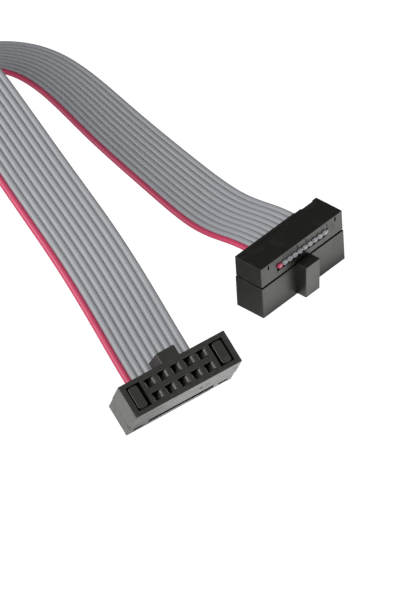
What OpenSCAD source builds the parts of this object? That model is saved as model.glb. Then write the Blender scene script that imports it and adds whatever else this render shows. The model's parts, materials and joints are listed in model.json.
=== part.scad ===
// Ten-wire flat ribbon cable, 300 mm long, with a 2 x 5 socket connector on each end.
// Socket B stands upright on its mating face at the origin: +X runs along its row of contacts,
// from the red edge wire to the grey edge, +Y is the side on which the ribbon leaves it, and
// the polarising key points to -Y. Socket A lies tipped over at the other end of the ribbon.

/* [Ribbon] */
// Thickness of the insulation over a wire
wire_t = 0.84; // [0.8:0.02:0.88]
// Thickness of the web between two wires
web_t = 0.36; // [0.3:0.02:0.4]
// Width of the flat top of each wire's ridge
ridge_w = 0.5; // [0.4:0.05:0.6]
// Diameter of the stranded conductor inside each wire
conductor_d = 0.38; // [0.32:0.01:0.4]

/* [Connector body] */
// Length of the socket body along its rows
body_l = 20.7; // [20.2:0.1:21]
// Width of the socket body across its rows
body_w = 6; // [5.8:0.1:6.4]
// Height of the socket body
body_h = 6.1; // [6:0.1:6.2]
// Width of the polarising key
key_w = 3.5; // [3:0.1:3.8]
// How far the polarising key stands out of the body at its top
key_d = 2.3; // [1.5:0.1:2.5]
// Height of the polarising key
key_h = 6.5; // [6.3:0.1:6.7]
// Size of a contact cavity along the row
cavity_l = 1.65; // [1.55:0.05:1.7]
// Size of a contact cavity across the row
cavity_w = 1.5; // [1.4:0.05:1.7]
// Height of the contact cavities, up to the slots for the forks
cavity_h = 4.86; // [4.8:0.02:4.9]

/* [Connector cover] */
// Length of the cover
cover_l = 20.6; // [20:0.1:20.7]
// Width of the cover
cover_w = 5.8; // [5.6:0.1:6]
// Height of the cover's top above the mating face
cover_top = 10.4; // [10.2:0.1:10.6]
// Gap between the body's top and the cover
cover_gap = 0.25; // [0.2:0.05:0.4]
// Width of a latching leg along the row
leg_l = 1.75; // [1.6:0.05:1.8]
// Width of a latching leg across the row
leg_w = 4.1; // [3.8:0.1:4.2]

/* [Contacts] */
// Thickness of the contact strip
strip_t = 0.2; // [0.15:0.01:0.22]
// Width of the spring beams
beam_w = 1.25; // [1:0.05:1.4]
// Thickness of the fork across the row
fork_t = 0.25; // [0.2:0.01:0.3]

/* [Hidden] */
$fn = 32;
eps = 0.02;          // overlap of pieces that join, and play of pieces that only fit
reach = 1;           // how far a cutting solid stands past the face that it opens
wires = 10;
wire_pitch = 1.27;
contact_pitch = 2.54;
ribbon_w = wires * wire_pitch;
ribbon_z = 8.45;     // middle of the ribbon above a connector's mating face
cut_b = 3.25;        // distance from a connector's middle to the ribbon's cut end: it stands a
cut_a = 2.45;        // little out of socket B, and stays inside socket A
cover_z = body_h + cover_gap;

key_lean = 0.4;      // how much less the key stands out at the mating face
comb_l = 13.2;       // ribbed block on the body's top that carries the ribbon
comb_w = 4.5;
chamber_l = 13.4;    // hollow in the cover that takes the comb
chamber_w = 4.7;
window_z = 7.45;     // bottom of the window that the ribbon passes through
notch_r = 0.22;      // notches over the ribbon's grooves at the window's upper edge
notch_z = 8.8;
notch_depth = 1;

pocket_in = 6.75;    // end pockets that take the legs: inner and outer faces
pocket_out = 9.35;
pocket_w = 4.4;
catch_z = 2.4;       // underside of the catch in each pocket
catch_d = 0.25;
dimple_x = 3.05;     // ejector dimple in the body's back face
dimple_z = 3.9;
dimple_d = 0.7;
dimple_depth = 0.6;
small_depth = 0.3;    // depth of the cover's small slots and dip

rib_l = 15;          // low rib along the back edge of the cover's top
rib_w = 0.55;
rib_h = 0.15;
dip_x = [6.3, 9.3];
dip_w = 0.85;
slot_x = 8.45;       // narrow slots in the cover's key side, one near each end
slot_w = 0.35;
slot_z = [9.1, 10];
nick_x = [-1.05, 1.05, 6.35];
nick_w = 0.2;
nick_z = [9.2, 9.9];
nick_depth = 0.12;
recess_x = [7.4, 9.2];
recess_z = [8.3, 9.3];
recess_depth = 0.5;

leg_in = 7.3;        // inner face of a leg
leg_z = 0.15;        // lower end of a leg
leg_r = 0.5;
barb_h = 0.9;
barb_d = 0.25;

fork_w = 1;          // full width of a fork
fork_top = 9.3;
fork_slot_z = 7.5;   // bottom of the slot between the tines
fork_tip = 0.45;     // height of the pointed tips
base_z = 4.6;        // the contact's base plate, across the top of the cavity
base_t = 0.25;
beam_tip = [0.76, 0.12];    // inner face of the spring beam: the thin tip at the mouth, the inner
beam_flare = [0.5, 0.5];    // end of the flare, and the grip
beam_grip = [0.24, 2.6];
beam_root_x = 0.6;
flare_back = [0.8, 0.4];    // outer face of the flare, which thins towards the tip
flare_root = [0.7, 0.62];
stop_x = -0.32;      // inner face of the short stiff beam that the pin bears on
stop_z = 1.5;        // its lower end
stop_bevel = [0.04, 0.15];
mouth_chamfer = 0.1;

// where socket A lies: its turn, and the place of its mating face's centre
a_turn = [-145, -7.5, -17];
a_xy = [-40.2, -11.7];

// The ribbon's route from socket B to socket A, between its two straight ends. Each row holds
// a control point, then the heading and the tilt in degrees of the direction across the ribbon.
route = [
    [0, 16, 6.5, 0, 0],
    [0.5, 27.5, 9.5, -1, -6],
    [0.5, 41.5, 14, 1, -8],
    [1.5, 56.5, 20, 3, -17],
    [-0.5, 72, 14.5, 3, -4],
    [-2.5, 85.5, 5, 7, -3],
    [-4.5, 100.5, -1, 9, 5],
    [-7, 116, 4.5, 8, 8],
    [-10, 123.5, 18.5, 3, 11],
    [-13, 118.5, 34, -5, 9],
    [-15.5, 106, 44, -9, 3],
    [-18, 90, 48, -10, -2],
    [-21, 74, 46.5, -10, -5],
    [-24, 58.5, 42, -10, -4],
    [-27, 43.5, 35.5, -10, -3],
    [-30, 29.5, 27.5, -13, 2],
    [-33, 16, 21.5, -14, 5],
    [-35, 6.5, 15, -16, 6]
];
lead_b = 5;          // spacing of the control points at the two ends
lead_a = 6;
window_y = 3;        // where the ribbon leaves a connector

// ---- directions and places ----

// a vector turned as rotate() turns a solid
function turn_x(v, a) = [v.x, v.y * cos(a) - v.z * sin(a), v.y * sin(a) + v.z * cos(a)];
function turn_y(v, a) = [v.x * cos(a) + v.z * sin(a), v.y, v.z * cos(a) - v.x * sin(a)];
function turn_z(v, a) = [v.x * cos(a) - v.y * sin(a), v.x * sin(a) + v.y * cos(a), v.z];
function turned(v) = turn_z(turn_y(turn_x(v, a_turn.x), a_turn.y), a_turn.z);

// socket A rests on the lowest corner of its cover's top
a_corners = [for (x = [-1, 1]) for (y = [-1, 1]) turned([x * cover_l / 2, y * cover_w / 2, cover_top])];
a_place = [a_xy.x, a_xy.y, -min([for (c = a_corners) c.z])];

function unit(v) = v / norm(v);
function square_to(v, t) = unit(v - (v * t) * t);
function across(row) = [
    cos(row[3]) * cos(row[4]),
    sin(row[3]) * cos(row[4]),
    sin(row[4])
];

// ---- the ribbon's centre line: a uniform cubic B-spline through the control rows ----

function point_weights(u) = [
    pow(1 - u, 3),
    3 * pow(u, 3) - 6 * pow(u, 2) + 4,
    -3 * pow(u, 3) + 3 * pow(u, 2) + 3 * u + 1,
    pow(u, 3)
] / 6;
function slope_weights(u) = [
    -pow(1 - u, 2),
    3 * pow(u, 2) - 4 * u,
    -3 * pow(u, 2) + 2 * u + 1,
    pow(u, 2)
] / 2;
function row_at(place, direction, heading) = [
    place.x, place.y, place.z, heading[0], heading[1]
] + direction_row(direction);
function direction_row(v) = [v.x, v.y, v.z, 0, 0];

b_exit = [0, window_y, ribbon_z];
b_along = [0, 1, 0];
a_exit = a_place + turned([0, -window_y, ribbon_z]);
a_along = turned([0, 1, 0]);
a_heading = [a_turn.z, -a_turn.y];
controls = concat(
    [for (k = [-1:1]) row_at(b_exit, k * lead_b * b_along, [0, 0])],
    route,
    [for (k = [-1:1]) row_at(a_exit, k * lead_a * a_along, a_heading)]
);
spans = len(controls) - 3;

function mix(w, i) = w[0] * controls[i] + w[1] * controls[i + 1]
    + w[2] * controls[i + 2] + w[3] * controls[i + 3];
function xyz(row) = [row[0], row[1], row[2]];

// a ring's frame: centre, direction across the ribbon, direction through it
function frame_from(centre, along, side) = [centre, side, cross(side, along)];
function spline_frame(i, u) =
    let (row = mix(point_weights(u), i))
    let (along = unit(xyz(mix(slope_weights(u), i))))
    frame_from(xyz(row), along, square_to(across(row), along));

// two rings to a span, and one in the short spans beside each connector
function is_short(i) = i < 2 || i > spans - 3;
ring_places = concat(
    [for (i = [0:spans - 1]) for (u = is_short(i) ? [0] : [0, 0.5]) [i, u]],
    [[spans - 1, 1]]
);
b_end = frame_from([0, -cut_b, ribbon_z], b_along, [1, 0, 0]);
a_end = frame_from(a_place + turned([0, cut_a, ribbon_z]), a_along, turned([1, 0, 0]));
frames = concat([b_end], [for (p = ring_places) spline_frame(p[0], p[1])], [a_end]);

// ---- the ribbon's section: x across the ribbon, y through it ----

function wire_x(i) = (i - (wires + 1) / 2) * wire_pitch;
function ridge(i, side) = [
    [wire_x(i) - side * wire_pitch / 2, side * web_t / 2],
    [wire_x(i) - side * ridge_w / 2, side * wire_t / 2],
    [wire_x(i) + side * ridge_w / 2, side * wire_t / 2]
];
// the outline of wires first to last, round from the upper left
function ribbon_outline(first, last) = concat(
    [for (i = [first:last]) for (p = ridge(i, 1)) p],
    [[wire_x(last) + wire_pitch / 2, web_t / 2]],
    [for (i = [last:-1:first]) for (p = ridge(i, -1)) p],
    [[wire_x(first) - wire_pitch / 2, -web_t / 2]]
);
bore_points = 6;
function bore_outline(i) = [
    for (a = [90:-60:-210]) [wire_x(i) + conductor_d / 2 * cos(a), conductor_d / 2 * sin(a)]
];
function insulation_points(first, last) = concat(
    ribbon_outline(first, last),
    [for (i = [first:last]) for (p = bore_outline(i)) p]
);

// the closed loops of an insulation's points: its outline, and each bore the other way round
function outline_points(first, last) = 6 * (last - first + 1) + 2;
function insulation_loops(first, last) = concat(
    [[for (j = [0:outline_points(first, last) - 1]) j]],
    [for (i = [first:last]) [
        for (j = [bore_points - 1:-1:0]) outline_points(first, last) + bore_points * (i - first) + j
    ]]
);
// the four faces round each bore that together close a cut end
function insulation_cap(first, last) = [
    for (i = [first:last])
        let (t = 3 * (i - first))
        let (u = outline_points(first, last) / 2 + 3 * (last - i))
        let (b = outline_points(first, last) + bore_points * (i - first))
        each [
            [t, t + 1, t + 2, t + 3, b + 1, b, b + 5],
            [t + 3, u, b + 2, b + 1],
            [u, u + 1, u + 2, u + 3, b + 4, b + 3, b + 2],
            [u + 3, t, b + 5, b + 4]
        ]
];

// ---- sweeping a section along the frames ----

function placed(frame, p) = frame[0] + p.x * frame[1] + p.y * frame[2];

// the two triangles of the side face between ring k and the next, from point a to point b; they
// are split along the diagonal that starts at the upper point, so that neighbours share it
function side_pair(section, a, b, k) =
    let (count = len(section))
    let (p = k * count + a)
    let (q = k * count + b)
    section[a].y >= section[b].y
        ? [[p, q + count, q], [p, p + count, q + count]]
        : [[p, p + count, q], [q, p + count, q + count]];
function walls(section, loop) = [
    for (k = [0:len(frames) - 2])
        for (j = [0:len(loop) - 1])
            each side_pair(section, loop[j], loop[(j + 1) % len(loop)], k)
];
function far_cap(section, cap) = [
    for (face = cap) [for (j = [len(face) - 1:-1:0]) (len(frames) - 1) * len(section) + face[j]]
];

module sweep(section, loops, cap) {
    polyhedron(
        points = [for (f = frames) for (p = section) placed(f, p)],
        faces = concat([for (loop = loops) each walls(section, loop)], cap, far_cap(section, cap))
    );
}

module in_socket(s) {
    if (s == "a") {
        translate(a_place) rotate(a_turn) children();
    } else {
        children();
    }
}

// ---- ribbon ----

// the slits that the forks' tines leave in the insulation of wires first to last
module tine_slits(first, last) {
    for (s = ["a", "b"]) in_socket(s)
        for (i = [first:last]) for (side = [-1, 1])
            translate([wire_x(i), row_y(i), 0]) hull() tine(side, eps);
}

module insulation(first, last) {
    difference() {
        sweep(
            insulation_points(first, last),
            insulation_loops(first, last),
            insulation_cap(first, last)
        );
        tine_slits(first, last);
    }
}

module grey_insulation() {
    color([0.62, 0.62, 0.6]) insulation(2, wires);
}

module red_edge_insulation() {
    color([0.82, 0.2, 0.36]) insulation(1, 1);
}

module conductor(i) {
    loop = [for (j = [0:bore_points - 1]) j];
    color([0.8, 0.52, 0.35]) sweep(bore_outline(i), [loop], [loop]);
}

// ---- contacts: odd wires in the row beside the key, even wires in the other row ----

function row_side(i) = i % 2 == 1 ? -1 : 1;
function row_y(i) = row_side(i) * contact_pitch / 2;
// a contact's place along the row: its fork stands half a wire's pitch to one side of it
function contact_x(i) = wire_x(i) - row_side(i) * wire_pitch / 2;

// an outline in the plane of the row and the height, given a thickness across the row
module plate(outline, t) {
    translate([0, t / 2, 0]) rotate([90, 0, 0]) linear_extrude(t) polygon(outline);
}

function mirrored(points, side) = [for (p = points) [side * p.x, p.y]];

// one tine of a fork, whose inner edge touches the conductor; play makes it larger all round
module tine(side, play = 0) {
    inner = conductor_d / 2 * cos(30) - play;
    outer = fork_w / 2 + play;
    plate(mirrored([
        [inner, fork_slot_z],
        [outer, fork_slot_z],
        [outer, fork_top - fork_tip],
        [outer - fork_tip / 4, fork_top],
        [inner + fork_tip / 4, fork_top],
        [inner, fork_top - fork_tip]
    ], side), fork_t + 2 * play);
}

module spring_beam() {
    plate([
        beam_tip,
        flare_back,
        flare_root,
        beam_grip + [strip_t, 0],
        [beam_root_x + strip_t, base_z],
        [beam_root_x, base_z],
        beam_grip,
        beam_flare
    ], beam_w);
}

module stop_beam() {
    plate([
        [stop_x - strip_t, stop_z],
        [stop_x - stop_bevel.x, stop_z],
        [stop_x, stop_z + stop_bevel.y],
        [stop_x, base_z],
        [stop_x - strip_t, base_z]
    ], beam_w);
}

module contact(s, i) {
    fork_x = wire_x(i) - contact_x(i);
    color([0.78, 0.76, 0.7]) in_socket(s) translate([contact_x(i), row_y(i), 0]) {
        translate([-cavity_l / 2, -beam_w / 2, base_z]) cube([cavity_l, beam_w, base_t]);
        translate([fork_x - fork_w / 2, -fork_t / 2, base_z + base_t - eps])
            cube([fork_w, fork_t, fork_slot_z - base_z - base_t + 2 * eps]);
        spring_beam();
        stop_beam();
        for (side = [-1, 1]) translate([fork_x, 0, 0]) tine(side);
    }
}

// ---- socket body ----

module centred_box(l, w, low, high) {
    translate([-l / 2, -w / 2, low]) cube([l, w, high - low]);
}

// the ribbon's own shape through a connector, from face to face
module ribbon_channel() {
    translate([0, cover_w, ribbon_z]) rotate([90, 0, 0])
        linear_extrude(2 * cover_w) polygon(ribbon_outline(1, wires));
}

// a prism with sloping sides, wide at the mating face, that chamfers one pair of a mouth's edges
module mouth_wedge(size, length) {
    wide = size / 2 + mouth_chamfer;
    plate([
        [-wide, -reach],
        [wide, -reach],
        [wide, 0],
        [size / 2, mouth_chamfer],
        [-size / 2, mouth_chamfer],
        [-wide, 0]
    ], length);
}

module cavity(i) {
    translate([contact_x(i), row_y(i), 0]) {
        centred_box(cavity_l, cavity_w, -reach, cavity_h);
        intersection() {
            mouth_wedge(cavity_l, contact_pitch);
            rotate(90) mouth_wedge(cavity_w, contact_pitch);
        }
    }
    translate([wire_x(i), row_y(i), 0]) centred_box(fork_w + 2 * eps, fork_t, base_z, ribbon_z);
}

module end_pocket(side) {
    low_l = pocket_out - pocket_in;
    translate([side * (pocket_in + low_l / 2), 0, 0]) centred_box(low_l, pocket_w, -reach, catch_z);
    high_l = low_l - catch_d;
    translate([side * (pocket_in + high_l / 2), 0, 0]) centred_box(high_l, pocket_w, 0, body_h + reach);
}

// the polarising key, whose front leans in towards the mating face
module key() {
    face = -body_w / 2;
    translate([-key_w / 2, 0, 0]) rotate([90, 0, 90]) linear_extrude(key_w) polygon([
        [face + reach, 0],
        [face + reach, body_h],
        [face, body_h],
        [face, key_h],
        [face - key_d, key_h],
        [face - key_d + key_lean, 0]
    ]);
}

module socket_body(s) {
    color([0.13, 0.13, 0.14]) in_socket(s) difference() {
        union() {
            centred_box(body_l, body_w, 0, body_h);
            key();
            centred_box(comb_l, comb_w, body_h - eps, ribbon_z);
        }
        for (i = [1:wires]) cavity(i);
        for (side = [-1, 1]) end_pocket(side);
        ribbon_channel();
        translate([dimple_x, body_w / 2 + reach, dimple_z]) rotate([90, 0, 0])
            cylinder(d = dimple_d, h = reach + dimple_depth);
    }
}

// ---- socket cover ----

module rounded_rectangle(l, w, r) {
    square([l - 2 * r, w], center = true);
    square([l, w - 2 * r], center = true);
    for (x = [-1, 1]) for (y = [-1, 1]) translate([x * (l / 2 - r), y * (w / 2 - r)]) circle(r);
}

module leg(side) {
    leg_x = side * (leg_in + leg_l / 2);
    translate([leg_x, 0, leg_z]) linear_extrude(cover_z - leg_z + eps)
        rounded_rectangle(leg_l, leg_w, leg_r);
    translate([leg_x, leg_w / 4, catch_z - barb_h - eps]) rotate([90, 0, 0]) linear_extrude(leg_w / 2)
        polygon([
            [0, 0],
            [side * leg_l / 2, 0],
            [side * (leg_l / 2 + barb_d), barb_h],
            [0, barb_h]
        ]);
}

// notches over the ribbon's grooves and beside its edges, in the two long faces
module notches() {
    for (i = [0:wires]) for (side = [-1, 1])
        translate([wire_x(i) + wire_pitch / 2, side * cover_w / 2, notch_z])
            rotate([90, 0, 0]) cylinder(r = notch_r, h = 2 * notch_depth, center = true);
}

module tine_recesses() {
    for (i = [1:wires]) translate([wire_x(i), row_y(i), 0])
        centred_box(fork_w + 4 * eps, fork_t + 4 * eps, ribbon_z, fork_top + 2 * eps);
}

// a box from x[0] to x[1] and z[0] to z[1] that cuts a long face, on one side, to a depth
module face_cut(x, z, side, depth) {
    translate([x[0], side * cover_w / 2 - depth, z[0]]) cube([x[1] - x[0], 2 * depth, z[1] - z[0]]);
}

// the moulding's small slots, nicks and recesses
module face_cuts() {
    for (side = [-1, 1]) {
        face_cut([side * slot_x - slot_w / 2, side * slot_x + slot_w / 2], slot_z, -1, small_depth);
        face_cut([min(side * recess_x), max(side * recess_x)], recess_z, 1, recess_depth);
    }
    for (x = nick_x) face_cut([x - nick_w / 2, x + nick_w / 2], nick_z, -1, nick_depth);
    face_cut(dip_x, [cover_top - rib_h - small_depth, cover_top], 1, dip_w);
}

module socket_cover(s) {
    color([0.13, 0.13, 0.14]) in_socket(s) {
        difference() {
            union() {
                centred_box(cover_l, cover_w, cover_z, cover_top - rib_h);
                translate([-cover_l / 2, cover_w / 2 - rib_w, ribbon_z])
                    cube([rib_l, rib_w, cover_top - ribbon_z]);
            }
            centred_box(chamber_l, chamber_w, 0, ribbon_z);
            centred_box(ribbon_w, 2 * cover_w, window_z, ribbon_z);
            ribbon_channel();
            notches();
            tine_recesses();
            face_cuts();
        }
        for (side = [-1, 1]) leg(side);
    }
}

// ---- assembly ----

grey_insulation();
red_edge_insulation();
for (i = [1:wires]) {
    conductor(i);
}
for (s = ["a", "b"]) {
    socket_body(s);
    socket_cover(s);
    for (i = [1:wires]) {
        contact(s, i);
    }
}
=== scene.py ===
"""Looks of a ten-wire flat ribbon cable with a keyed two-row socket on each end.

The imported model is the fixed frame. The ribbon's insulation and its stranded conductors are swept
along the same route as the CAD solids, the spring contacts are bent from strip, and the moulded
bodies and covers are the CAD shapes with their outer edges rounded.
"""

import json
import logging
import math
from dataclasses import dataclass, field
from enum import Enum

import bmesh
import bpy
import numpy as np
from bpy.types import ID, Material, Node, NodeSocket, NodeTree, Object
from mathutils import Matrix, Vector

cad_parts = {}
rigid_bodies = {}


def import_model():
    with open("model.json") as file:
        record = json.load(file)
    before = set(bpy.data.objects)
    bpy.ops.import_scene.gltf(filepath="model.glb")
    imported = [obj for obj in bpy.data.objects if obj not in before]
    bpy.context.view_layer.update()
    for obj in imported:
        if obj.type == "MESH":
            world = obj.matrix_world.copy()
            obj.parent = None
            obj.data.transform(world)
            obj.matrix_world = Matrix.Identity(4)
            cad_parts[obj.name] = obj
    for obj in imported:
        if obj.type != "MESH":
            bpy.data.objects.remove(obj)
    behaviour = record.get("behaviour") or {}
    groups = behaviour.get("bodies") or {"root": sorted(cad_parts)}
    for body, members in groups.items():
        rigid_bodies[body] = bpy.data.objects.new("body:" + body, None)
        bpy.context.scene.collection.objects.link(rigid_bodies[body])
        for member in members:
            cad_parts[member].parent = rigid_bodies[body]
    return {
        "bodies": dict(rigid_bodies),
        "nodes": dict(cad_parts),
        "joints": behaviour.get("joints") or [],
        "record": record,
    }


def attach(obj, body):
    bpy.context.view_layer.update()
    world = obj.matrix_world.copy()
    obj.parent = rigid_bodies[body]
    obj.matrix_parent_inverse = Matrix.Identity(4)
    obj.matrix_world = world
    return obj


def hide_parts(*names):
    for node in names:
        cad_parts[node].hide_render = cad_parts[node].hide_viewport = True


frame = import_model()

Pair = tuple[float, float]
Triple = tuple[float, float, float]
Solid = tuple[np.ndarray, list[np.ndarray]]

MM = 0.001
WHITE = (1, 1, 1, 1)
UV_NAME = "along_and_round"
LOG = logging.getLogger("ribbon_cable")


# -------- geometry helpers


def unit(v: np.ndarray) -> np.ndarray:
    """Returns the vectors along the last axis, scaled to length one."""
    return v / np.linalg.norm(v, axis=-1, keepdims=True)


def smoothstep(x: np.ndarray, knots: tuple[float, ...], values: tuple[float, ...]) -> np.ndarray:
    """Eases from one value to the next between the knots.

    Within a stretch, with s from 0 to 1, the value is v0 + (v1 - v0)(3 s^2 - 2 s^3).

    Args:
        x: Places to evaluate.
        knots: Rising places of the given values.
        values: The value at each knot.

    Returns:
        The eased values, one for each place.
    """
    k = np.asarray(knots, float)
    v = np.asarray(values, float)
    i = np.clip(np.searchsorted(k, x, side="right") - 1, 0, len(k) - 2)
    s = np.clip((x - k[i]) / (k[i + 1] - k[i]), 0, 1)
    return v[i] + (v[i + 1] - v[i]) * s * s * (3 - 2 * s)


def signed_volume(points: np.ndarray, triangles: np.ndarray) -> float:
    """Returns a closed mesh's volume, which is negative where its faces point inwards."""
    a, b, c = (points[triangles[:, k]] for k in range(3))
    return float(np.einsum("ij,ij->i", a, np.cross(b, c)).sum() / 6)


def quads_between(first: np.ndarray, second: np.ndarray) -> np.ndarray:
    """Returns the quads that join two lines of points, given as equal arrays of point numbers."""
    return np.stack([first[..., :-1], first[..., 1:], second[..., 1:], second[..., :-1]], -1)


def closed_line(line: np.ndarray) -> np.ndarray:
    """Returns the line of point numbers with its first one repeated at its end."""
    return np.concatenate([line, line[..., :1]], -1)


def tube(rings: int, around: int, start: int = 0) -> list[np.ndarray]:
    """Returns the walls and the two end faces of a closed stack of rings.

    Args:
        rings: How many rings there are.
        around: Points on each ring.
        start: Number of the first ring's first point.

    Returns:
        The walls, the first ring's face and the last one's.
    """
    ids = start + np.arange(rings * around).reshape(rings, around)
    walls = quads_between(closed_line(ids[:-1]), closed_line(ids[1:])).reshape(-1, 4)
    return [walls, ids[:1, ::-1], ids[-1:]]


def outwards(points: np.ndarray, faces: list[np.ndarray]) -> list[np.ndarray]:
    """Returns a closed solid's faces, turned round if they point inwards.

    Args:
        points: Corner places, one row each.
        faces: Arrays of point numbers, each with one row a face.

    Returns:
        The faces, pointing outwards.
    """
    fans = []
    for f in faces:
        fans += [np.stack([f[:, 0], f[:, k], f[:, k + 1]], -1) for k in range(1, f.shape[1] - 1)]
    inwards = signed_volume(points, np.concatenate(fans)) < 0
    return [f[:, ::-1] if inwards else f for f in faces]


def new_thing(name: str, data: ID) -> Object:
    """Returns a new object in the scene, made of a mesh, a light or a camera."""
    thing = bpy.data.objects.new(name, data)
    bpy.context.scene.collection.objects.link(thing)
    return thing


def make_object(
    name: str, points: np.ndarray, faces: list[np.ndarray], smooth_deg: float = 35
) -> Object:
    """Makes a mesh object from a closed solid.

    Args:
        name: Name of the object and its mesh.
        points: Corner places in metres, one row each.
        faces: Arrays of point numbers, each with one row a face.
        smooth_deg: Edges sharper than this stay sharp.

    Returns:
        The linked object.
    """
    mesh = bpy.data.meshes.new(name)
    rows = [face for f in faces for face in f.tolist()]
    mesh.from_pydata(points.tolist(), [], rows)
    mesh.shade_smooth()
    mesh.set_sharp_from_angle(angle=math.radians(smooth_deg))
    return new_thing(name, mesh)


def set_uv(thing: Object, uv: np.ndarray) -> None:
    """Gives the mesh a UV map from one (u, v) row for each of its points."""
    mesh = thing.data
    corner_points = np.empty(len(mesh.loops), np.int32)
    mesh.loops.foreach_get("vertex_index", corner_points)
    layer = mesh.uv_layers.new(name=UV_NAME)
    layer.uv.foreach_set("vector", uv[corner_points].astype(np.float32).ravel())


# -------- where the sockets lie


class End(Enum):
    """The two ends of the cable."""

    TIPPED = "a"
    STANDING = "b"


@dataclass(frozen=True)
class SocketPlace:
    """Where a socket lies: its turn and the place of its mating face's centre, in metres."""

    turn: np.ndarray
    centre: np.ndarray

    @classmethod
    def of(cls, end: End, record: dict) -> "SocketPlace":
        """Returns the place of one end's socket.

        Args:
            end: Which end of the cable.
            record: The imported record, whose mounts hold the mating faces' centres.

        Returns:
            The socket's place.
        """
        mount = next(m for m in record["mounts"] if m["name"] == f"socket_{end.value}_mating_face")
        turn = turn_matrix(TIPPED_TURN_DEG) if end is End.TIPPED else np.eye(3)
        return cls(turn, np.array(mount["pos_m"], float))

    def put(self, points: np.ndarray) -> np.ndarray:
        """Returns points from the socket's own frame, in metres, placed in the model's frame."""
        return points @ self.turn.T + self.centre

    def matrix(self) -> Matrix:
        """Returns the same placing as a 4 x 4 matrix."""
        placed = Matrix(self.turn.tolist()).to_4x4()
        placed.translation = Vector(self.centre)
        return placed


def turn_matrix(degrees: Triple) -> np.ndarray:
    """Returns the turn about X, then Y, then Z by the three angles in degrees."""
    x, y, z = (math.radians(a) for a in degrees)
    turn_x = np.array([[1, 0, 0], [0, math.cos(x), -math.sin(x)], [0, math.sin(x), math.cos(x)]])
    turn_y = np.array([[math.cos(y), 0, math.sin(y)], [0, 1, 0], [-math.sin(y), 0, math.cos(y)]])
    turn_z = np.array([[math.cos(z), -math.sin(z), 0], [math.sin(z), math.cos(z), 0], [0, 0, 1]])
    return turn_z @ turn_y @ turn_x


TIPPED_TURN_DEG = (-145.0, -7.5, -17.0)

# The ribbon's route as part.scad has it, in metres, with the heading and the tilt in degrees of
# the direction across the ribbon.
ROUTE = (
    (0, 0.016, 0.0065, 0, 0),
    (0.0005, 0.0275, 0.0095, -1, -6),
    (0.0005, 0.0415, 0.014, 1, -8),
    (0.0015, 0.0565, 0.02, 3, -17),
    (-0.0005, 0.072, 0.0145, 3, -4),
    (-0.0025, 0.0855, 0.005, 7, -3),
    (-0.0045, 0.1005, -0.001, 9, 5),
    (-0.007, 0.116, 0.0045, 8, 8),
    (-0.01, 0.1235, 0.0185, 3, 11),
    (-0.013, 0.1185, 0.034, -5, 9),
    (-0.0155, 0.106, 0.044, -9, 3),
    (-0.018, 0.09, 0.048, -10, -2),
    (-0.021, 0.074, 0.0465, -10, -5),
    (-0.024, 0.0585, 0.042, -10, -4),
    (-0.027, 0.0435, 0.0355, -10, -3),
    (-0.03, 0.0295, 0.0275, -13, 2),
    (-0.033, 0.016, 0.0215, -14, 5),
    (-0.035, 0.0065, 0.015, -16, 6),
)


@dataclass(frozen=True)
class RibbonFrames:
    """Rings along the ribbon: centres, directions across and through it, and distances."""

    centre: np.ndarray
    across: np.ndarray
    through: np.ndarray
    run: np.ndarray

    def place(self, section: np.ndarray) -> np.ndarray:
        """Sweeps a section: point p of ring k is centre_k + p.x across_k + p.y through_k.

        Args:
            section: Section points, x across the ribbon and y through it, in metres, either the
                same for every ring or with one set of them for each.

        Returns:
            Points with the shape (rings, section points, 3).
        """
        x, y = section[..., :1], section[..., 1:]
        return self.centre[:, None] + x * self.across[:, None] + y * self.through[:, None]


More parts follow.
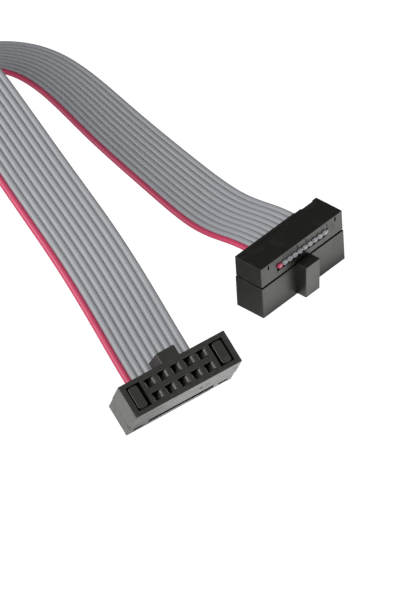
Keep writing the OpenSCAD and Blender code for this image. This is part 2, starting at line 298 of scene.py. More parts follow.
@dataclass
class RibbonRoute:
    """The ribbon's line: straight through each socket, and a cubic B-spline between them."""

    standing: SocketPlace
    tipped: SocketPlace
    height: float = 8.45 * MM
    exit_y: float = 3.0 * MM
    standing_cut: float = 3.25 * MM
    tipped_cut: float = 2.45 * MM
    standing_lead: float = 5.0 * MM
    tipped_lead: float = 6.0 * MM
    rings_per_span: int = 12

    def controls(self) -> np.ndarray:
        """Returns the control rows: place, then heading and tilt in degrees."""
        rows = np.array(ROUTE, float)
        steps = np.array([-1.0, 0.0, 1.0])[:, None]
        start = self.standing.put(np.array([0, self.exit_y, self.height]))
        start = start + steps * self.standing_lead * self.standing.turn[:, 1]
        end = self.tipped.put(np.array([0, -self.exit_y, self.height]))
        end = end + steps * self.tipped_lead * self.tipped.turn[:, 1]
        heading = np.tile([TIPPED_TURN_DEG[2], -TIPPED_TURN_DEG[1]], (3, 1))
        start, end = np.hstack([start, np.zeros((3, 2))]), np.hstack([end, heading])
        return np.concatenate([start, rows, end])

    def frames(self) -> RibbonFrames:
        """Evaluates the route.

        With u from 0 to 1 in a span, the four control rows weigh (1-u)^3, 3u^3 - 6u^2 + 4,
        -3u^3 + 3u^2 + 3u + 1 and u^3, all over 6. The direction across the ribbon is the one
        that the heading and the tilt give, made square to the line.

        Returns:
            The rings, from the cut end in the standing socket to the one in the tipped socket.
        """
        controls = self.controls()
        spans = len(controls) - 3
        t = np.linspace(0, spans, spans * self.rings_per_span + 1)
        i = np.minimum(t.astype(int), spans - 1)
        u = (t - i)[:, None]
        weights = ((1 - u) ** 3, 3 * u**3 - 6 * u**2 + 4, -3 * u**3 + 3 * u**2 + 3 * u + 1, u**3)
        slopes = (-((1 - u) ** 2), 3 * u**2 - 4 * u, -3 * u**2 + 2 * u + 1, u**2)
        rows = sum(w * controls[i + k] for k, w in enumerate(weights)) / 6
        along = unit(sum(w * controls[i + k, :3] for k, w in enumerate(slopes)))
        heading, tilt = np.radians(rows[:, 3]), np.radians(rows[:, 4])
        side = np.stack(
            [np.cos(heading) * np.cos(tilt), np.sin(heading) * np.cos(tilt), np.sin(tilt)], -1
        )
        across = unit(side - (side * along).sum(-1, keepdims=True) * along)
        first = self.standing.put(np.array([0, -self.standing_cut, self.height]))
        last = self.tipped.put(np.array([0, self.tipped_cut, self.height]))
        centre = np.concatenate([[first], rows[:, :3], [last]])
        across = np.concatenate([[self.standing.turn[:, 0]], across, [self.tipped.turn[:, 0]]])
        along = np.concatenate([[self.standing.turn[:, 1]], along, [self.tipped.turn[:, 1]]])
        steps = np.linalg.norm(np.diff(centre, axis=0), axis=1)
        run = np.concatenate([[0], np.cumsum(steps)])
        return RibbonFrames(centre, across, np.cross(across, along), run)


# -------- the ribbon


@dataclass
class RibbonSection:
    """The ribbon's section: round wires side by side, joined by thin webs."""

    wires: int = 10
    pitch: float = 1.27 * MM
    ridge_high: float = 0.42 * MM
    ridge_half: float = 0.57 * MM
    web_half: float = 0.06 * MM
    roundness: float = 6.0
    bore_radius: float = 0.2 * MM
    side_steps: int = 13

    def wire_x(self, wire: int) -> float:
        """Returns the place across the ribbon of a wire, counted from 1 at the red edge."""
        return (wire - (self.wires + 1) / 2) * self.pitch

    def top(self, x: np.ndarray) -> np.ndarray:
        """Returns the half thickness at x from a wire's middle.

        It is the p-norm of the oval ridge's height and of the web's, (h^p + w^p)^(1/p), which
        follows the larger of the two and rounds the corner where they meet.
        """
        high = self.ridge_high * np.sqrt(np.clip(1 - (x / self.ridge_half) ** 2, 0, None))
        return (high**self.roundness + self.web_half**self.roundness) ** (1 / self.roundness)

    def cell(self, wire: int) -> np.ndarray:
        """Returns a wire's closed outline, clockwise from the upper left web."""
        s = np.linspace(-1, 1, self.side_steps + 1)
        x = self.pitch / 2 * np.sin(np.pi / 2 * s)
        y = self.top(x)
        over = np.stack([x, y], -1)
        return np.concatenate([over, over[::-1] * [1, -1]]) + [self.wire_x(wire), 0]

    def bore(self, wire: int) -> np.ndarray:
        """Returns the hole for a wire's conductor, clockwise, with half as many points."""
        count = self.side_steps + 1
        start = math.atan2(self.web_half, -self.pitch / 2)
        a = start - 2 * math.pi * np.arange(count) / count
        return np.stack([np.cos(a), np.sin(a)], -1) * self.bore_radius + [self.wire_x(wire), 0]


@dataclass
class Insulation:
    """Extruded insulation of neighbouring wires, open along each conductor."""

    name: str
    first: int
    last: int
    section: RibbonSection = field(default_factory=RibbonSection)

    def build(self, frames: RibbonFrames) -> Object:
        """Sweeps the section along the ribbon and closes both cut ends round the bores.

        Args:
            frames: The rings to sweep along.

        Returns:
            The insulation as one closed piece.
        """
        wires = range(self.first, self.last + 1)
        cells = np.array([self.section.cell(w) for w in wires])
        bores = np.array([self.section.bore(w) for w in wires])
        flat = np.concatenate([cells.reshape(-1, 2), bores.reshape(-1, 2)])
        shared, number = np.unique(np.round(flat / MM, 6), axis=0, return_inverse=True)
        number = number.ravel()
        split = cells.shape[0] * cells.shape[1]
        cell_ids = number[:split].reshape(cells.shape[:2])
        bore_ids = number[split:].reshape(bores.shape[:2])
        lines = self.outer_edges(cell_ids) + [closed_line(b)[::-1] for b in bore_ids]
        rings, count = len(frames.centre), len(shared)
        base = np.arange(rings)[:, None] * count
        sides = [quads_between(base[:-1] + line, base[1:] + line).reshape(-1, 4) for line in lines]
        cap = self.cap_triangles(cell_ids, bore_ids)
        far_cap = cap + (rings - 1) * count
        points = frames.place(shared * MM).reshape(-1, 3)
        thing = make_object(self.name, points, [np.concatenate(sides), cap[:, ::-1], far_cap])
        girth = np.where(shared[:, 1] < 0, shared[:, 0] + 2 * self.section.wires, shared[:, 0])
        uv = np.stack(np.broadcast_arrays(frames.run[:, None] / MM, girth[None]), -1)
        set_uv(thing, uv.reshape(-1, 2))
        return thing

    def outer_edges(self, cells: np.ndarray) -> list[np.ndarray]:
        """Returns the outline as lines of point numbers: tops, undersides and the two edges."""
        half = cells.shape[1] // 2
        right, left = cells[-1, [half - 1, half]], cells[0, [-1, 0]]
        return [*cells[:, :half], *cells[:, half:], right, left]

    def cap_triangles(self, cells: np.ndarray, bores: np.ndarray) -> np.ndarray:
        """Fills between each wire's outline and its bore.

        Each bore edge faces two outline edges, so three triangles fill the space between them.
        """
        a, m, b = cells[:, 0::2], cells[:, 1::2], np.roll(cells, -2, 1)[:, 0::2]
        i, j = bores, np.roll(bores, -1, 1)
        parts = [np.stack(t, -1).reshape(-1, 3) for t in ((a, m, i), (m, j, i), (m, b, j))]
        return np.concatenate(parts)


@dataclass
class Conductor:
    """A stranded conductor: one straight strand with six laid round it."""

    wire: int
    strand_radius: float = 0.0625 * MM
    layer_radius: float = 0.1265 * MM
    lay: float = 12.0 * MM
    laid_strands: int = 6
    sides: int = 6
    smooth_deg: float = 50
    section: RibbonSection = field(default_factory=RibbonSection)

    def build(self, frames: RibbonFrames) -> Object:
        """Sweeps seven round strands; the outer ones turn once round the middle in each lay.

        A strand's centre is (R cos p, R sin p) with p = p0 + 2 pi s / lay at the distance s, and
        its own outline is a small circle round that centre.

        Args:
            frames: The rings to sweep along.

        Returns:
            The conductor as seven closed strands in one piece.
        """
        ring = 2 * np.pi * np.arange(self.sides) / self.sides
        circle = self.strand_radius * np.stack([np.cos(ring), np.sin(ring)], -1)
        turn = 2 * np.pi * frames.run / self.lay
        centres = [np.zeros((len(turn), 2))]
        for k in range(self.laid_strands):
            p = turn + k * 2 * np.pi / self.laid_strands
            centres.append(self.layer_radius * np.stack([np.cos(p), np.sin(p)], -1))
        points, faces = [], []
        for number, centre in enumerate(centres):
            flat = centre[:, None] + circle[None] + [self.section.wire_x(self.wire), 0]
            points.append(frames.place(flat).reshape(-1, 3))
            walls, near, far = tube(len(turn), self.sides, number * len(turn) * self.sides)
            faces += [walls, near[:, ::-1], far[:, ::-1]]
        name = f"stranded_conductor_{self.wire}"
        return make_object(name, np.concatenate(points), faces, self.smooth_deg)


# -------- contacts


def rounded_bar(width: float, thick: float, radius: float, corner_points: int = 3) -> np.ndarray:
    """Returns a rectangle's outline with quarter-circle corners, anticlockwise.

    Args:
        width: Size along x.
        thick: Size along y.
        radius: Corner radius.
        corner_points: Points on each corner.

    Returns:
        The outline's points.
    """
    a = np.linspace(0, np.pi / 2, corner_points)
    arc = radius * np.stack([np.cos(a), np.sin(a)], -1)
    corner = np.array([width / 2 - radius, thick / 2 - radius])
    turns = [np.array([[c, s], [-s, c]]) for c, s in ((1, 0), (0, 1), (-1, 0), (0, -1))]
    centres = [corner * m for m in ((1, 1), (-1, 1), (-1, -1), (1, -1))]
    return np.concatenate([arc @ t + c for t, c in zip(turns, centres)])


@dataclass
class SpringContact:
    """A contact cut and bent from strip: a flared spring beam, a short stiff one, and a fork."""

    end: End
    wire: int
    strip: float = 0.2 * MM
    beam_width: float = 1.25 * MM
    edge_radius: float = 0.05 * MM
    base_low: float = 4.6 * MM
    base_high: float = 4.85 * MM
    base_length: float = 1.65 * MM
    fork_width: float = 1.0 * MM
    fork_thick: float = 0.25 * MM
    fork_top: float = 9.3 * MM
    fork_tip: float = 0.45 * MM
    slot_low: float = 7.5 * MM
    slot_half: float = 0.1645 * MM
    slot_points: int = 9
    bevel: float = 0.04 * MM
    fork_bevel: float = 0.03 * MM
    overlap: float = 0.02 * MM
    rings: int = 28
    tip_crowding: float = 1.6
    section: RibbonSection = field(default_factory=RibbonSection)

    # Profiles in millimetres: the spring beam's inner face as heights and places across, at
    # its mouth and above it; how much of the strip's thickness is left at two heights; and the
    # stiff beam's outline.
    FLARE = ((0.12, 0.5), (0.76, 0.5))
    BEND = ((0.5, 2.6, 4.7), (0.5, 0.25, 0.6))
    THINNED = ((0.12, 0.75), (0.25, 1.0))
    STOP = ((-0.52, 1.5), (-0.36, 1.5), (-0.32, 1.65), (-0.32, 4.7), (-0.52, 4.7))

    @property
    def name(self) -> str:
        """Returns the piece's name."""
        return f"spring_contact_{self.end.value}_{self.wire}"

    @property
    def row(self) -> int:
        """Returns -1 for the row beside the key and 1 for the other."""
        return -1 if self.wire % 2 else 1

    def spring_beam(self) -> Solid:
        """Sweeps the strip's section along the spring beam.

        The beam's inner face is x(z): a straight flare at the mouth, then eased to the grip and
        the root. Its section is set square to that line, and the strip thins towards the tip.

        Returns:
            Points and faces.
        """
        tip, root = self.FLARE[0][0], self.BEND[0][-1]
        z = tip + (root - tip) * np.linspace(0, 1, self.rings) ** self.tip_crowding
        flare, bend = np.interp(z, *self.FLARE), smoothstep(z, *self.BEND)
        x = np.where(z < self.BEND[0][0], flare, bend)
        thick = np.interp(z, *self.THINNED)
        slope = np.gradient(x, z)
        out = unit(np.stack([np.ones_like(slope), np.zeros_like(slope), -slope], -1))
        section = rounded_bar(self.strip, self.beam_width, self.edge_radius)
        centre = np.stack([x, np.zeros_like(x), z], -1) * MM
        centre = centre + out * (thick * self.strip / 2)[:, None]
        across = np.array([0.0, 1.0, 0.0])
        depth = section[None, :, :1] * thick[:, None, None]
        grid = centre[:, None] + depth * out[:, None] + section[None, :, 1:] * across
        return grid.reshape(-1, 3), tube(*grid.shape[:2])

    def slab(self, outline: np.ndarray, half: float, bevel: float) -> Solid:
        """Makes a flat blank with small bevels round both of its faces.

        Args:
            outline: Points in the plane of x and z, anticlockwise.
            half: Half of its thickness, along y.
            bevel: Size of the bevels.

        Returns:
            Points and faces.
        """
        before, after = np.roll(outline, 1, 0), np.roll(outline, -1, 0)
        first, second = unit(outline - before), unit(after - outline)
        normal = unit(np.stack([-(first + second)[:, 1], (first + second)[:, 0]], -1))
        inner = outline + bevel * normal
        rows = ((inner, -half), (outline, bevel - half), (outline, half - bevel), (inner, half))
        grid = np.stack([np.stack([o[:, 0], np.full(len(o), y), o[:, 1]], -1) for o, y in rows])
        return grid.reshape(-1, 3), tube(*grid.shape[:2])

    def fork_outline(self) -> np.ndarray:
        """Returns the forked blade's outline: a stem, two pointed tines and a round-ended slot."""
        w, s, tip = self.fork_width / 2, self.slot_half, self.fork_tip
        top, low, foot = self.fork_top, self.slot_low, self.base_high - self.overlap
        a = np.linspace(0, -np.pi, self.slot_points)
        slot = np.stack([s * np.cos(a), low + s + s * np.sin(a)], -1)
        right = [[-w, foot], [w, foot], [w, top - tip]]
        right += [[w - tip / 4, top], [s + tip / 4, top], [s, top - tip]]
        left = [[-s, top - tip], [-s - tip / 4, top], [-w + tip / 4, top], [-w, top - tip]]
        return np.concatenate([np.array(right), slot, np.array(left)])

    def build(self, place: SocketPlace) -> Object:
        """Builds the contact in its socket.

        Args:
            place: Where the socket lies.

        Returns:
            The contact as one piece.
        """
        half, low, high = self.base_length / 2, self.base_low, self.base_high
        base = np.array([[-half, low], [half, low], [half, high], [-half, high]])
        blade = self.slab(self.fork_outline(), self.fork_thick / 2, self.fork_bevel)
        parts = [
            self.spring_beam(),
            self.slab(np.array(self.STOP) * MM, self.beam_width / 2, self.bevel),
            self.slab(base, self.beam_width / 2, self.bevel),
            (blade[0] + [self.row * self.section.pitch / 2, 0, 0], blade[1]),
        ]
        points, faces, start = [], [], 0
        for some_points, some_faces in parts:
            points.append(some_points)
            faces += [f + start for f in outwards(some_points, some_faces)]
            start += len(some_points)
        x = self.section.wire_x(self.wire) - self.row * self.section.pitch / 2
        centre = np.array([x, self.row * self.section.pitch, 0])
        return make_object(self.name, place.put(np.concatenate(points) + centre), faces)


# -------- mouldings


@dataclass(frozen=True)
class Block:
    """An upright block with rounded edges, in a socket's own frame, in millimetres.

    Its face at the low end of y may lean in towards the bottom, by the distance lean.
    """

    x: Pair
    y: Pair
    z: Pair
    edge: float = 0.09
    corner: float = 0.15
    proud: float = 0.003
    lean: float = 0.0
    steps: int = 4

    def build(self) -> Object:
        """Stacks rounded rectangles, drawn in near both ends.

        At the angle a, a rectangle near an end is drawn in by r (1 - sin a) and stands
        r (1 - cos a) from the end.

        Returns:
            The block as one closed solid.
        """
        a = np.linspace(0, np.pi / 2, self.steps + 1)
        inset = self.edge * (1 - np.sin(a))
        step = self.edge * (1 - np.cos(a))
        low, high = self.z[0] - self.proud, self.z[1] + self.proud
        insets = np.concatenate([inset, inset[::-1]])
        heights = np.concatenate([low + step, high - step[::-1]])
        length = self.x[1] - self.x[0] + 2 * self.proud
        width = self.y[1] - self.y[0] + 2 * self.proud
        middle = np.array([sum(self.x) / 2, sum(self.y) / 2])
        rings = []
        for d, z in zip(insets, heights):
            cut = self.lean * (high - z) / (high - low)
            size = (length - 2 * d, width - cut - 2 * d)
            flat = rounded_bar(*size, self.corner - d, self.steps + 1) + middle + [0, cut / 2]
            rings.append(np.hstack([flat, np.full((len(flat), 1), z)]))
        grid = np.stack(rings) * MM
        return make_object("block", grid.reshape(-1, 3), tube(*grid.shape[:2]))


def baked(thing: Object) -> None:
    """Turns an object's modifiers into its mesh."""
    graph = bpy.context.evaluated_depsgraph_get()
    mesh = bpy.data.meshes.new_from_object(thing.evaluated_get(graph))
    old = thing.data
    thing.modifiers.clear()
    thing.data = mesh
    bpy.data.meshes.remove(old)


def combined(thing: Object, tool: Object, operation: str) -> None:
    """Joins or cuts an object with another one, which is used up.

    Args:
        thing: The object that stays.
        tool: The object that is used.
        operation: UNION or INTERSECT.
    """
    cut = thing.modifiers.new("cut", "BOOLEAN")
    cut.operation, cut.solver, cut.object = operation, "MANIFOLD", tool
    baked(thing)
    mesh = tool.data
    bpy.data.objects.remove(tool)
    bpy.data.meshes.remove(mesh)


@dataclass
class Moulding:
    """A moulded part: its CAD shape, with its outer edges rounded to those of some blocks."""

    name: str
    blocks: tuple[Block, ...]
    merge_distance: float = 0.0005 * MM

    def build(self, source: Object, place: SocketPlace) -> Object:
        """Merges a copy of the CAD mesh and keeps what lies within the rounded blocks.

        Args:
            source: The CAD node's object.
            place: Where the socket lies.

        Returns:
            The moulding as one closed piece.
        """
        mesh = source.data.copy()
        there = place.matrix()
        mesh.transform(there.inverted())
        work = bmesh.new()
        work.from_mesh(mesh)
        bmesh.ops.remove_doubles(work, verts=work.verts[:], dist=self.merge_distance)
        work.to_mesh(mesh)
        work.free()
        for layer in list(mesh.uv_layers):
            mesh.uv_layers.remove(layer)
        thing = new_thing(self.name, mesh)
        envelope = self.blocks[0].build()
        for block in self.blocks[1:]:
            combined(envelope, block.build(), "UNION")
        combined(thing, envelope, "INTERSECT")
        thing.data.transform(there)
        thing.data.shade_flat()
        thing.data.name = self.name
        return thing


BODY_BLOCKS = (
    Block((-10.35, 10.35), (-3.0, 3.0), (0.0, 6.1)),
    Block((-1.75, 1.75), (-5.3, -2.0), (0.0, 6.5), lean=0.4),
    Block((-6.6, 6.6), (-2.25, 2.25), (5.0, 8.45), edge=0.05, corner=0.06),
)
COVER_BLOCKS = (
    Block((-10.3, 10.3), (-2.9, 2.9), (6.35, 10.25)),
    Block((-10.3, 4.7), (2.35, 2.9), (8.6, 10.4), edge=0.1, corner=0.11),
    *(
        Block((m - 0.875, m + 0.875), (-2.05, 2.05), (0.15, 7.0), corner=0.5)
        for m in (-8.175, 8.175)
    ),
    *(
        Block((m - 0.5, m + 0.5), (-1.1, 1.1), (1.4, 2.5), edge=0.02, corner=0.03)
        for m in (-8.95, 8.95)
    ),
)


# -------- finishes


@dataclass(frozen=True)
class NodeBench:
    """Puts nodes in a tree and joins them."""

    tree: NodeTree

    def add(self, kind: str, feeds: dict | None = None, **settings) -> Node:
        """Adds a node.

        Args:
            kind: The node's type name.
            feeds: An output socket or a plain value for an input, by its name or number.
            settings: Properties of the node itself.

        Returns:
            The new node.
        """
        node = self.tree.nodes.new(kind)
        for key, value in settings.items():
            setattr(node, key, value)
        for key, value in (feeds or {}).items():
            if isinstance(value, NodeSocket):
                self.tree.links.new(value, node.inputs[key])
            else:
                node.inputs[key].default_value = value
        return node

    def math(self, operation: str, a, b) -> NodeSocket:
        """Returns the outcome of a Math node, whose two inputs are sockets or numbers."""
        return self.add("ShaderNodeMath", {0: a, 1: b}, operation=operation).outputs[0]

    def blend(self, factor, first, second) -> NodeSocket:
        """Returns two numbers mixed by a factor, each a socket or a number."""
        return self.add("ShaderNodeMix", {0: factor, 2: first, 3: second}).outputs[0]

    def blend_colour(self, factor, first, second) -> NodeSocket:
        """Returns two colours mixed by a factor, each a socket or a value."""
        feeds = {0: factor, 6: first, 7: second}
        return self.add("ShaderNodeMix", feeds, data_type="RGBA").outputs[2]

    def ease(self, value: NodeSocket, low, high) -> NodeSocket:
        """Returns 0 where a value is below low and 1 above high, eased between them."""
        feeds = {"Value": value, "From Min": low, "From Max": high}
        ramp = self.add("ShaderNodeMapRange", feeds, interpolation_type="SMOOTHSTEP")
        return ramp.outputs["Result"]


def new_group(
    name: str, numbers: dict[str, float], outputs: tuple[str, ...]
) -> tuple[NodeTree, NodeBench, Node]:
    """Starts a shader node group with a place vector and some numbers as its inputs.

    Args:
        name: The group's name.
        numbers: Number inputs with their usual values.
        outputs: Names of its number outputs.

    Returns:
        The group, a bench for its nodes and its input node.
    """
    group = bpy.data.node_groups.new(name, "ShaderNodeTree")
    face = group.interface
    face.new_socket("Place", in_out="INPUT", socket_type="NodeSocketVector")
    for label, value in numbers.items():
        face.new_socket(label, in_out="INPUT", socket_type="NodeSocketFloat").default_value = value
    for label in outputs:
        face.new_socket(label, in_out="OUTPUT", socket_type="NodeSocketFloat")
    bench = NodeBench(group)
    return group, bench, bench.add("NodeGroupInput")


def grain_group() -> NodeTree:
    """Builds fine grain: noise mixed with noise four times finer, centred on 0.5."""
    numbers = {"Scale": 4000.0, "Fine share": 0.4}
    group, bench, source = new_group("fine_grain", numbers, ("Height",))
    place, scale = source.outputs["Place"], source.outputs["Scale"]
    coarse = bench.add("ShaderNodeTexNoise", {"Vector": place, "Scale": scale, "Detail": 2.0})
    finer = bench.math("MULTIPLY", scale, 4.0)
    fine = bench.add("ShaderNodeTexNoise", {"Vector": place, "Scale": finer, "Detail": 1.0})
    mixed = bench.blend(source.outputs["Fine share"], coarse.outputs["Fac"], fine.outputs["Fac"])
    bench.add("NodeGroupOutput", {"Height": mixed})
    return group


def marks_group() -> NodeTree:
    """Builds handling marks: soft patches where distorted noise passes a threshold."""
    numbers = {"Scale": 300.0, "Threshold": 0.52, "Softness": 0.16}
    group, bench, source = new_group("handling_marks", numbers, ("Mask",))
    low = source.outputs["Threshold"]
    feeds = {"Detail": 5.0, "Roughness": 0.62, "Distortion": 0.6}
    feeds |= {"Vector": source.outputs["Place"], "Scale": source.outputs["Scale"]}
    patches = bench.add("ShaderNodeTexNoise", feeds)
    high = bench.math("ADD", low, source.outputs["Softness"])
    mask = bench.ease(patches.outputs["Fac"], low, high)
    bench.add("NodeGroupOutput", {"Mask": mask})
    return group


def streaks_group() -> NodeTree:
    """Builds drawing streaks: noise stretched along U and fine along V, and a slow tone."""
    numbers = {"Along": 0.05, "Across": 5.0}
    group, bench, source = new_group("drawing_streaks", numbers, ("Height", "Tone"))
    along, across = source.outputs["Along"], source.outputs["Across"]
    scale = bench.add("ShaderNodeCombineXYZ", {"X": along, "Y": across}).outputs["Vector"]
    feeds = {0: source.outputs["Place"], 1: scale}
    stretched = bench.add("ShaderNodeVectorMath", feeds, operation="MULTIPLY").outputs["Vector"]
    lines = bench.add("ShaderNodeTexNoise", {"Vector": stretched, "Scale": 1.0, "Detail": 3.0})
    bands = bench.add("ShaderNodeTexNoise", {"Vector": stretched, "Scale": 0.2, "Detail": 2.0})
    bench.add("NodeGroupOutput", {"Height": lines.outputs["Fac"], "Tone": bands.outputs["Fac"]})
    return group


@dataclass(frozen=True)
class Effects:
    """The shared shader groups."""

    grain: NodeTree
    marks: NodeTree
    streaks: NodeTree

    def put(self, bench: NodeBench, group: NodeTree, place: NodeSocket, **numbers: float) -> Node:
        """Places one of the groups in a material.

        Args:
            bench: Bench of the material.
            group: The group to place.
            place: The vector that it follows.
            numbers: Values for its number inputs, with underscores for spaces.

        Returns:
            The group's node.
        """
        feeds = {key.replace("_", " "): value for key, value in numbers.items()}
        return bench.add("ShaderNodeGroup", {"Place": place, **feeds}, node_tree=group)


def new_material(name: str) -> tuple[Material, NodeBench, Node]:
    """Starts a material.

    Args:
        name: The material's name.

    Returns:
        The material, a bench for its nodes and its Principled shader.
    """
    material = bpy.data.materials.new(name)
    material.use_nodes = True
    material.node_tree.nodes.clear()
    bench = NodeBench(material.node_tree)
    shader = bench.add("ShaderNodeBsdfPrincipled")
    bench.add("ShaderNodeOutputMaterial", {"Surface": shader.outputs["BSDF"]})
    return material, bench, shader


def rough_and_bumped(
    bench: NodeBench,
    shader: Node,
    roughness: Pair,
    mask: NodeSocket,
    height: NodeSocket,
    depth: float,
) -> None:
    """Lets a mask vary the roughness and a height bump the surface.

    Args:
        bench: Bench of the material.
        shader: Its Principled shader.
        roughness: Roughness where the mask is 0 and where it is 1.
        mask: The mask.
        height: Height from 0 to 1.
        depth: How deep, in metres, a height of 1 is.
    """
    rough = bench.blend(mask, *roughness)
    bench.tree.links.new(rough, shader.inputs["Roughness"])
    bump = bench.add("ShaderNodeBump", {"Height": height, "Strength": 1.0, "Distance": depth})
    bench.tree.links.new(bump.outputs["Normal"], shader.inputs["Normal"])


@dataclass(frozen=True)
class PvcFinish:
    """Extruded PVC: streaked along the ribbon, faintly grained and dulled by handling."""

    name: str
    light: Triple
    deep: Triple
    ior: float = 1.45
    roughness: Pair = (0.5, 0.62)
    grain_scale: float = 3500.0
    marks_scale: float = 220.0
    grain_in_tone: float = 0.35
    grain_in_height: float = 0.4
    depth: float = 0.0015 * MM

    def make(self, effects: Effects) -> Material:
        """Returns the material."""
        material, bench, shader = new_material(self.name)
        along = bench.add("ShaderNodeUVMap", uv_map=UV_NAME).outputs["UV"]
        where = bench.add("ShaderNodeTexCoord").outputs["Object"]
        streaks = effects.put(bench, effects.streaks, along)
        grain = effects.put(bench, effects.grain, where, Scale=self.grain_scale)
        marks = effects.put(bench, effects.marks, where, Scale=self.marks_scale)
        lines, grains = streaks.outputs, grain.outputs["Height"]
        tone = bench.blend(self.grain_in_tone, lines["Tone"], grains)
        colour = bench.blend_colour(tone, (*self.deep, 1), (*self.light, 1))
        bench.tree.links.new(colour, shader.inputs["Base Color"])
        height = bench.blend(self.grain_in_height, lines["Height"], grains)
        rough_and_bumped(bench, shader, self.roughness, marks.outputs["Mask"], height, self.depth)
        shader.inputs["IOR"].default_value = self.ior
        return material


@dataclass(frozen=True)
class PatchyFinish:
    """A grained surface of one colour, with patches of another that are rougher."""

    name: str
    clean: Triple
    patch: Triple
    roughness: Pair
    grain_scale: float
    marks_scale: float
    depth: float

    def start(self, effects: Effects) -> tuple[Material, Node]:
        """Makes what the two kinds of patchy surface share.

        Args:
            effects: The shared shader groups.

        Returns:
            The material and its Principled shader.
        """
        material, bench, shader = new_material(self.name)
        where = bench.add("ShaderNodeTexCoord").outputs["Object"]
        grain = effects.put(bench, effects.grain, where, Scale=self.grain_scale)
        marks = effects.put(bench, effects.marks, where, Scale=self.marks_scale)
        mask, height = marks.outputs["Mask"], grain.outputs["Height"]
        colour = bench.blend_colour(mask, (*self.clean, 1), (*self.patch, 1))
        bench.tree.links.new(colour, shader.inputs["Base Color"])
        rough_and_bumped(bench, shader, self.roughness, mask, height, self.depth)
        return material, shader


@dataclass(frozen=True)
class MouldedFinish(PatchyFinish):
    """Glass-filled black plastic: a fine sparked texture, with duller rubbed patches."""

    roughness: Pair = (0.36, 0.48)
    grain_scale: float = 5200.0
    marks_scale: float = 420.0
    depth: float = 0.02 * MM
    ior: float = 1.58
    sheen: Triple = (1.0, 0.99, 0.935)

    def make(self, effects: Effects) -> Material:
        """Returns the material."""
        material, shader = self.start(effects)
        shader.inputs["IOR"].default_value = self.ior
        shader.inputs["Specular Tint"].default_value = (*self.sheen, 1)
        return material


@dataclass(frozen=True)
class MetalFinish(PatchyFinish):
    """Drawn or rolled metal with a slight tarnish in patches."""

    grain_scale: float = 6000.0
    marks_scale: float = 900.0
    depth: float = 0.006 * MM

    def make(self, effects: Effects) -> Material:
        """Returns the material."""
        material, shader = self.start(effects)
        shader.inputs["Metallic"].default_value = 1.0
        return material


# -------- studio


@dataclass(frozen=True)
class Softbox:
    """A rectangular soft light: where it shines from, its size and its brightness."""

    name: str
    towards: Triple
    distance: float
    size: Pair
    radiance: float
    aim: Triple = (-0.02, 0.03, 0.01)

    def place(self) -> None:
        """Adds the light, facing its aim; its power is radiance x pi x area."""
        lamp = bpy.data.lights.new(self.name, "AREA")
        lamp.shape = "RECTANGLE"
        lamp.size, lamp.size_y = self.size
        lamp.energy = self.radiance * math.pi * self.size[0] * self.size[1]
        thing = new_thing(self.name, lamp)
        out = Vector(self.towards).normalized()
        thing.location = Vector(self.aim) + self.distance * out
        thing.rotation_euler = out.to_track_quat("Z", "Y").to_euler()


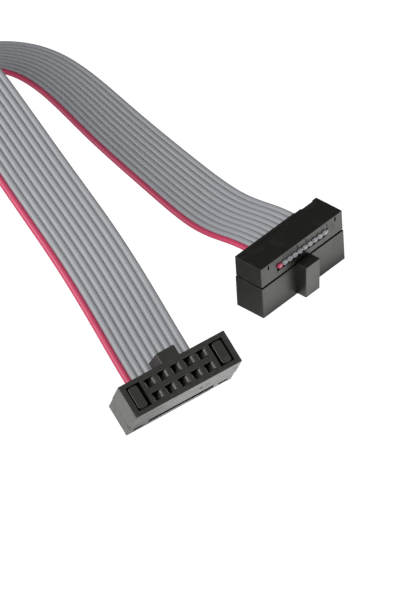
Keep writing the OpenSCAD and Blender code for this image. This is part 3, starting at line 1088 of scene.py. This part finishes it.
@dataclass
class Studio:
    """The camera, a pale floor and soft lights.

    The floor glows though it is no lamp: painted light, bright at the front. Its glow fades out
    towards the back, over glow_fades on Y, as painted shade where the sockets and the ribbon would
    shade the floor. Left of glow_left on X it has only glow_left_share of its strength, painted
    shade under the tipped socket, and reaches back by glow_left_reach more.
    """

    camera_at: Triple = (-0.9585, -0.9021, 1.0440)
    looking: Triple = (0.5636, 0.5430, -0.6225)
    upwards: Triple = (0.4897, 0.3874, 0.7811)
    focal_widths: float = 16.639
    sensor: float = 36.0
    clip: Pair = (0.05, 60.0)
    floor_rings: tuple[float, float, int] = (0.05, 12.0, 8)
    floor_sides: int = 96
    floor_tones: Pair = (0.41, 0.43)
    floor_roughness: float = 0.9
    paper_scale: float = 900.0
    floor_glow: float = 1.32
    glow_fades: Pair = (-0.007, -0.001)
    glow_left: Pair = (-0.046, -0.036)
    glow_left_share: float = 0.52
    glow_left_reach: float = 0.015
    floor_seen: float = 1.1
    world: float = 0.08
    lights: tuple[Softbox, ...] = (
        Softbox("left_key", (-0.71, 0.04, 0.70), 1.5, (0.9, 0.9), 13.3),
        Softbox("overhead", (0.0, -0.43, 0.9), 1.2, (3.2, 2.4), 0.42),
    )

    def place_camera(self) -> None:
        """Adds the camera; its lens is its sensor's width times the view's focal widths."""
        data = bpy.data.cameras.new("camera")
        data.sensor_width = self.sensor
        data.lens = data.sensor_width * self.focal_widths
        data.clip_start, data.clip_end = self.clip
        camera = new_thing("camera", data)
        back = -Vector(self.looking).normalized()
        right = Vector(self.upwards).cross(back).normalized()
        turn = Matrix((right, back.cross(right), back)).transposed().to_4x4()
        camera.matrix_world = Matrix.Translation(self.camera_at) @ turn
        bpy.context.scene.camera = camera

    def place_floor(self) -> None:
        """Adds the floor: a flat round disc.

        The camera sees it as an even white. What lights the cable, and what its surfaces mirror, is
        a pale board that glows at the front: painted light, with less glow behind and at the left
        as painted shade.
        """
        sides = self.floor_sides
        around = 2 * np.pi * np.arange(sides) / sides
        rings = np.geomspace(*self.floor_rings)
        flat = np.stack([np.cos(around), np.sin(around), np.zeros(sides)], -1)
        points = (rings[:, None, None] * flat[None]).reshape(-1, 3)
        ids = np.arange(len(points)).reshape(len(rings), sides)
        quads = quads_between(closed_line(ids[:-1]), closed_line(ids[1:])).reshape(-1, 4)
        floor = make_object("pale_floor", points, [quads[:, ::-1], ids[:1]])
        material, bench, shader = new_material("floor_white")
        where = bench.add("ShaderNodeTexCoord").outputs["Object"]
        feeds = {"Vector": where, "Scale": self.paper_scale, "Detail": 2.0}
        paper = bench.add("ShaderNodeTexNoise", feeds)
        dark, light = ((tone, tone, tone, 1) for tone in self.floor_tones)
        tone = bench.blend_colour(paper.outputs["Fac"], dark, light)
        bench.tree.links.new(tone, shader.inputs["Base Color"])
        shader.inputs["Roughness"].default_value = self.floor_roughness
        place = bench.add("ShaderNodeSeparateXYZ", {"Vector": where}).outputs
        # painted light: the floor's own glow, weakened behind and at the left as painted shade
        reach = self.glow_left_reach
        on_right = bench.ease(place["X"], *self.glow_left)
        moved_y = bench.math("ADD", place["Y"], bench.math("MULTIPLY", on_right, reach))
        behind = bench.ease(moved_y, *(y + reach for y in self.glow_fades))
        power = bench.blend(on_right, self.floor_glow * self.glow_left_share, self.floor_glow)
        glow = bench.math("MULTIPLY", power, bench.math("SUBTRACT", 1.0, behind))
        bench.tree.links.new(glow, shader.inputs["Emission Strength"])
        shader.inputs["Emission Color"].default_value = WHITE
        white = bench.add("ShaderNodeEmission", {"Color": WHITE, "Strength": self.floor_seen})
        seen = bench.add("ShaderNodeLightPath").outputs["Is Camera Ray"]
        feeds = {0: seen, 1: shader.outputs["BSDF"], 2: white.outputs["Emission"]}
        both = bench.add("ShaderNodeMixShader", feeds)
        output = next(n for n in bench.tree.nodes if n.type == "OUTPUT_MATERIAL")
        bench.tree.links.new(both.outputs["Shader"], output.inputs["Surface"])
        floor.data.materials.append(material)
        # rays find so wide a glow by themselves, with less grain than when they're aimed at it
        material.cycles.emission_sampling = "NONE"

    def place_light(self) -> None:
        """Adds the lights and a plain grey surround."""
        for light in self.lights:
            light.place()
        world = bpy.data.worlds.new("surround")
        world.use_nodes = True
        surround = world.node_tree.nodes["Background"].inputs
        surround["Color"].default_value = WHITE
        surround["Strength"].default_value = self.world
        bpy.context.scene.world = world
        bpy.context.scene.view_settings.view_transform = "Standard"


# -------- the cable


@dataclass
class RibbonCable:
    """The whole cable: its ribbon, and a socket on each end."""

    frame: dict
    finishes: dict[str, Material]
    wires: int = 10
    length: float = 0.300
    width: float = 0.0127

    def __post_init__(self) -> None:
        """Finds both sockets' places and the ribbon's rings."""
        self.places = {end: SocketPlace.of(end, self.frame["record"]) for end in End}
        self.route = RibbonRoute(self.places[End.STANDING], self.places[End.TIPPED])
        self.rings = self.route.frames()

    def finish(self, thing: Object, slot: str, *nodes: str) -> Object:
        """Dresses a piece in its finish and lets it stand for its CAD nodes.

        Args:
            thing: The piece.
            slot: The record's material slot.
            nodes: The CAD nodes that it replaces.

        Returns:
            The piece.
        """
        thing.data.materials.clear()
        thing.data.materials.append(self.finishes[slot])
        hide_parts(*nodes)
        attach(thing, "root")
        LOG.info("%s: %d faces", thing.name, len(thing.data.polygons))
        return thing

    def build_ribbon(self) -> tuple[Object, list[Object]]:
        """Builds the insulation and the conductors.

        Returns:
            The grey insulation, and the other pieces of the ribbon.
        """
        grey = Insulation("grey_wires", 2, self.wires).build(self.rings)
        self.finish(grey, "grey_pvc", "grey_insulation")
        red = Insulation("red_edge_wire", 1, 1).build(self.rings)
        others = [self.finish(red, "red_pvc", "red_edge_insulation")]
        for wire in range(1, self.wires + 1):
            core = Conductor(wire).build(self.rings)
            others.append(self.finish(core, "copper_strands", f"conductor_{wire}"))
        return grey, others

    def build_socket(self, end: End) -> list[Object]:
        """Builds one socket.

        Args:
            end: Which end of the cable.

        Returns:
            Its body, its cover and its contacts.
        """
        place = self.places[end]
        made = []
        for part, blocks in (("body", BODY_BLOCKS), ("cover", COVER_BLOCKS)):
            node = f"socket_{part}_{end.value}"
            shape = Moulding(f"moulded_{part}_{end.value}", blocks)
            thing = shape.build(self.frame["nodes"][node], place)
            made.append(self.finish(thing, "black_plastic", node))
        for wire in range(1, self.wires + 1):
            contact = SpringContact(end, wire).build(place)
            made.append(self.finish(contact, "tinned_bronze", f"contact_{end.value}_{wire}"))
        return made

    def build(self) -> None:
        grey, others = self.build_ribbon()
        free_end = self.build_socket(End.TIPPED)
        route = self.route
        tuple(route.standing.put(np.array([0, route.exit_y, route.height])))
        self.build_socket(End.STANDING)


def make_finishes() -> dict[str, Material]:
    """Returns the material of each of the record's slots."""
    effects = Effects(grain_group(), marks_group(), streaks_group())
    finishes = {
        "grey_pvc": PvcFinish("grey_ribbon_pvc", (0.235, 0.24, 0.255), (0.2, 0.205, 0.22)),
        "red_pvc": PvcFinish("red_ribbon_pvc", (0.402, 0.0395, 0.096), (0.338, 0.0275, 0.072)),
        "copper_strands": MetalFinish(
            "tinned_copper_wire", (0.42, 0.4, 0.37), (0.32, 0.29, 0.26), (0.4, 0.55)
        ),
        "black_plastic": MouldedFinish(
            "black_moulding", (0.004, 0.0039, 0.0036), (0.0065, 0.0063, 0.006)
        ),
        "tinned_bronze": MetalFinish(
            "tinned_strip", (0.5, 0.49, 0.46), (0.36, 0.34, 0.3), (0.42, 0.55)
        ),
    }
    return {slot: finish.make(effects) for slot, finish in finishes.items()}


def main() -> None:
    """Builds the scene."""
    logging.basicConfig(level=logging.INFO, format="%(message)s")
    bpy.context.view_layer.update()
    studio = Studio()
    studio.place_camera()
    RibbonCable(frame, make_finishes()).build()
    studio.place_floor()
    studio.place_light()


if __name__ == "__main__":
    main()
